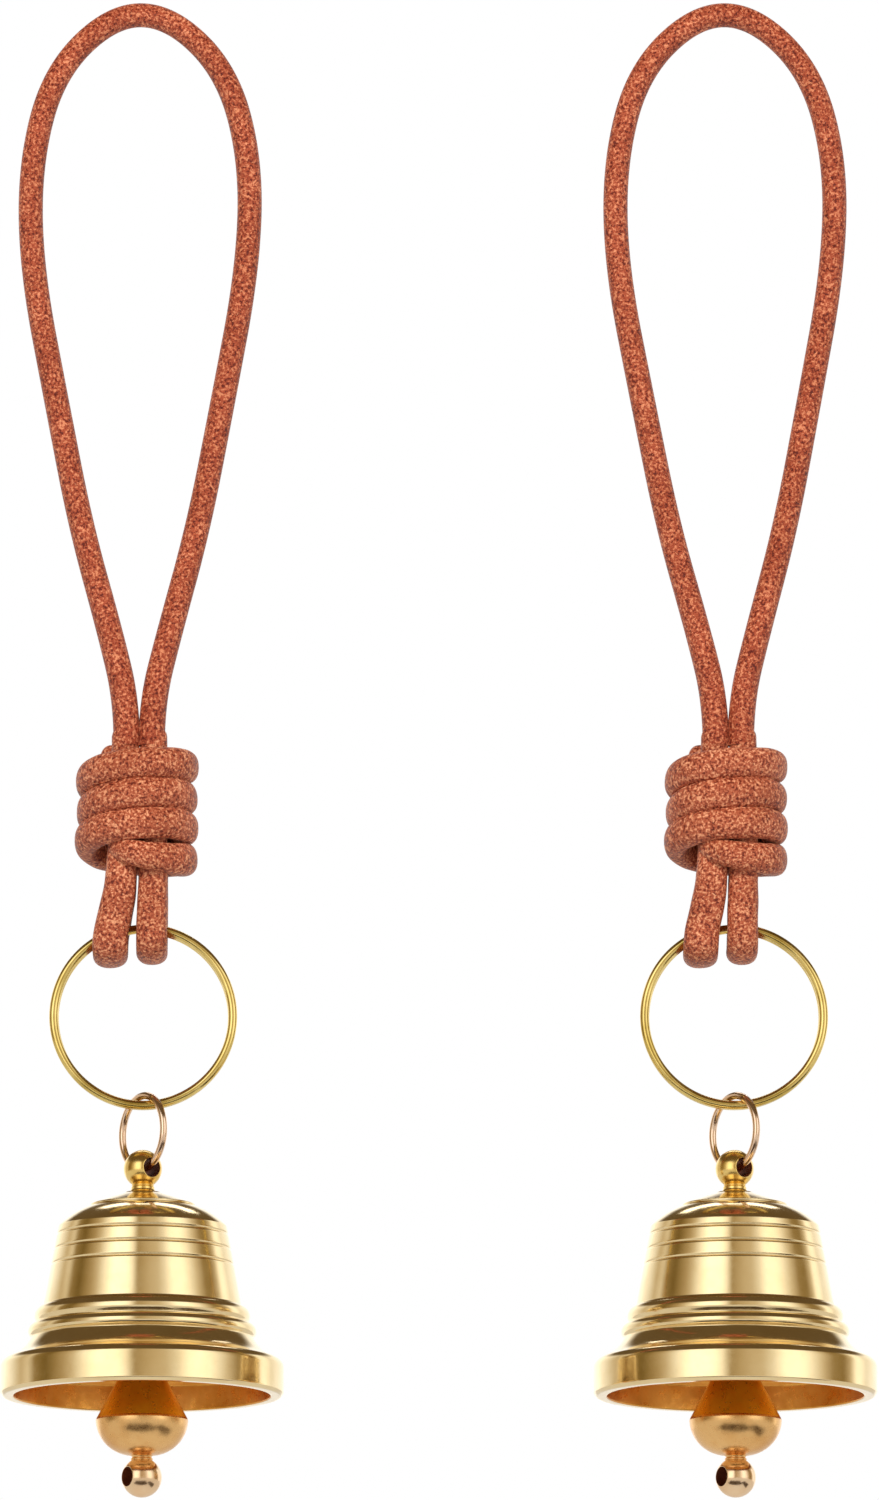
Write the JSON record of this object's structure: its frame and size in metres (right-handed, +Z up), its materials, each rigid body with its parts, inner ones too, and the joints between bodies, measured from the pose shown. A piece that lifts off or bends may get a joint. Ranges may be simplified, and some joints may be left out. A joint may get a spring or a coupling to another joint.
{
  "type": "sleigh bells",
  "caption": "Pair of small brass hand bells, each with a drilled clapper and a drilled finial, hung by a jump ring and a split ring from a knotted loop of round leather cord.",
  "frame": {"origin": "hang point of the left pendant: the inner top of its leather loop, in the middle of the cord's depth", "axes": "+Z up, -Y towards the viewer, +X from the left pendant to the right one"},
  "size_m": [0.1174, 0.038, 0.2044],
  "materials": {
    "leather_cord": "satin reddish brown leather with a fine mottled grain",
    "ring_brass": "bright drawn brass wire",
    "jump_copper": "bright rose-coloured wire",
    "finial_brass": "polished yellow brass",
    "bell_brass": "polished pale gold brass, turned",
    "washer_brass": "plain brass",
    "nut_brass": "plain brass",
    "link_wire": "plain drawn wire",
    "clapper_brass": "polished pale rose-gold brass, turned"
  },
  "bodies": {
    "root": {"strap_loop_left": "leather_cord", "strap_knot_left": "leather_cord", "strap_fold_a_left": "leather_cord", "strap_fold_b_left": "leather_cord", "strap_loop_right": "leather_cord", "strap_knot_right": "leather_cord", "strap_fold_a_right": "leather_cord", "strap_fold_b_right": "leather_cord"},
    "ring_left": {"split_ring_left": "ring_brass"},
    "jump_left": {"jump_ring_left": "jump_copper"},
    "bell_left": {"finial_left": "finial_brass", "bell_shell_left": "bell_brass", "crown_washer_left": "washer_brass", "eye_nut_left": "nut_brass"},
    "link_left": {"clapper_link_left": "link_wire"},
    "clapper_left": {"clapper_left": "clapper_brass"},
    "ring_right": {"split_ring_right": "ring_brass"},
    "jump_right": {"jump_ring_right": "jump_copper"},
    "bell_right": {"finial_right": "finial_brass", "bell_shell_right": "bell_brass", "crown_washer_right": "washer_brass", "eye_nut_right": "nut_brass"},
    "link_right": {"clapper_link_right": "link_wire"},
    "clapper_right": {"clapper_right": "clapper_brass"}
  },
  "joints": [
    {"name": "ring_swing_left", "type": "hinge", "parent": "root", "child": "ring_left", "pos_m": [0.0008, 0, -0.12435], "axis": [1, 0, 0], "range_deg": [-45, 45]},
    {"name": "ring_slide_left", "type": "hinge", "parent": "ring_left", "child": "jump_left", "pos_m": [0.0008, 0, -0.1361], "axis": [0, 1, 0], "range_deg": [-45, 45]},
    {"name": "bell_swing_left", "type": "hinge", "parent": "jump_left", "child": "bell_left", "pos_m": [0.0008, 0, -0.1567], "axis": [0.5736, -0.8192, 0], "range_deg": [-70, 70]},
    {"name": "link_sway_left", "type": "hinge", "parent": "bell_left", "child": "link_left", "pos_m": [0.0008, 0, -0.1687], "axis": [0, 1, 0], "range_deg": [-8, 8]},
    {"name": "clapper_swing_left", "type": "hinge", "parent": "link_left", "child": "clapper_left", "pos_m": [0.0008, 0, -0.17167], "axis": [1, 0, 0], "range_deg": [-30, 30]},
    {"name": "ring_swing_right", "type": "hinge", "parent": "root", "child": "ring_right", "pos_m": [0.0802, 0, -0.12435], "axis": [1, 0, 0], "range_deg": [-45, 45]},
    {"name": "ring_slide_right", "type": "hinge", "parent": "ring_right", "child": "jump_right", "pos_m": [0.0802, 0, -0.1361], "axis": [0, 1, 0], "range_deg": [-45, 45]},
    {"name": "bell_swing_right", "type": "hinge", "parent": "jump_right", "child": "bell_right", "pos_m": [0.0802, 0, -0.1567], "axis": [0.5736, -0.8192, 0], "range_deg": [-70, 70]},
    {"name": "link_sway_right", "type": "hinge", "parent": "bell_right", "child": "link_right", "pos_m": [0.0802, 0, -0.1687], "axis": [0, 1, 0], "range_deg": [-8, 8]},
    {"name": "clapper_swing_right", "type": "hinge", "parent": "link_right", "child": "clapper_right", "pos_m": [0.0802, 0, -0.17167], "axis": [1, 0, 0], "range_deg": [-30, 30]}
  ]
}
